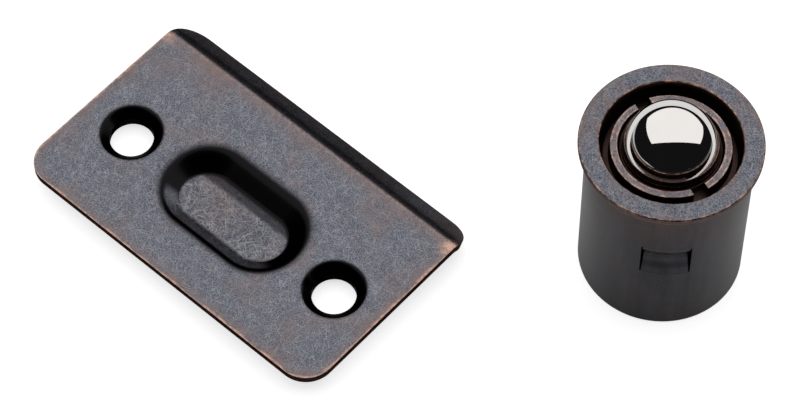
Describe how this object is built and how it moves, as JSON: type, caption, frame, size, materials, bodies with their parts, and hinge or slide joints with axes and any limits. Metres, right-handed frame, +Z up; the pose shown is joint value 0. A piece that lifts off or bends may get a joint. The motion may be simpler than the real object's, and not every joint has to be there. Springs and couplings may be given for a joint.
{
  "type": "drive-in ball catch",
  "caption": "Drive-in ball catch: pressed round casing with a sprung ball in a threaded adjusting sleeve, and its pressed strike plate with pocket and curved lip.",
  "frame": {"origin": "centre of the footprint of casing and strike plate, at the height they both stand on", "axes": "+X along the strike plate's long side, +Y from the strike plate's straight edge to its lip, +Z up, out of the door's edge"},
  "size_m": [0.0892, 0.064, 0.0339],
  "materials": {
    "bronzed_steel": "dark bronze plated, tumbled matt with bright worn edges",
    "chromed_ball": "mirror polish",
    "plain_steel": "plain turned and pressed steel",
    "spring_wire": "drawn wire"
  },
  "bodies": {
    "fixed_parts": {"casing": "bronzed_steel", "strike_plate": "bronzed_steel"},
    "riser": {"base_disc": "plain_steel"},
    "sleeve": {"adjuster_sleeve": "bronzed_steel", "coil_spring": "spring_wire"},
    "seat": {"ball_seat": "plain_steel"},
    "ball": {"ball": "chromed_ball"}
  },
  "joints": [
    {"name": "adjust_rise", "type": "slide", "parent": "fixed_parts", "child": "riser", "axis": [0, 0, 1], "range_m": [-0.00375, 0.00125]},
    {"name": "adjust_turn", "type": "hinge", "parent": "riser", "child": "sleeve", "pos_m": [0.03195, 0.01925, 0.0162], "axis": [0, 0, 1], "range_deg": [-270.5, 90.5]},
    {"name": "ball_plunge", "type": "slide", "parent": "sleeve", "child": "seat", "axis": [0, 0, 1], "range_m": [-0.004, 0], "stiffness_N_per_m": 1500, "springref_m": 0.004, "deforming": ["coil_spring"]},
    {"name": "ball_roll", "type": "hinge", "parent": "seat", "child": "ball", "pos_m": [0.03195, 0.01925, 0.02753], "axis": [1, 0, 0], "continuous": true}
  ],
  "couplings": [
    {"joint": "adjust_turn", "follows": "adjust_rise", "rad_per_m": 1256.6}
  ]
}
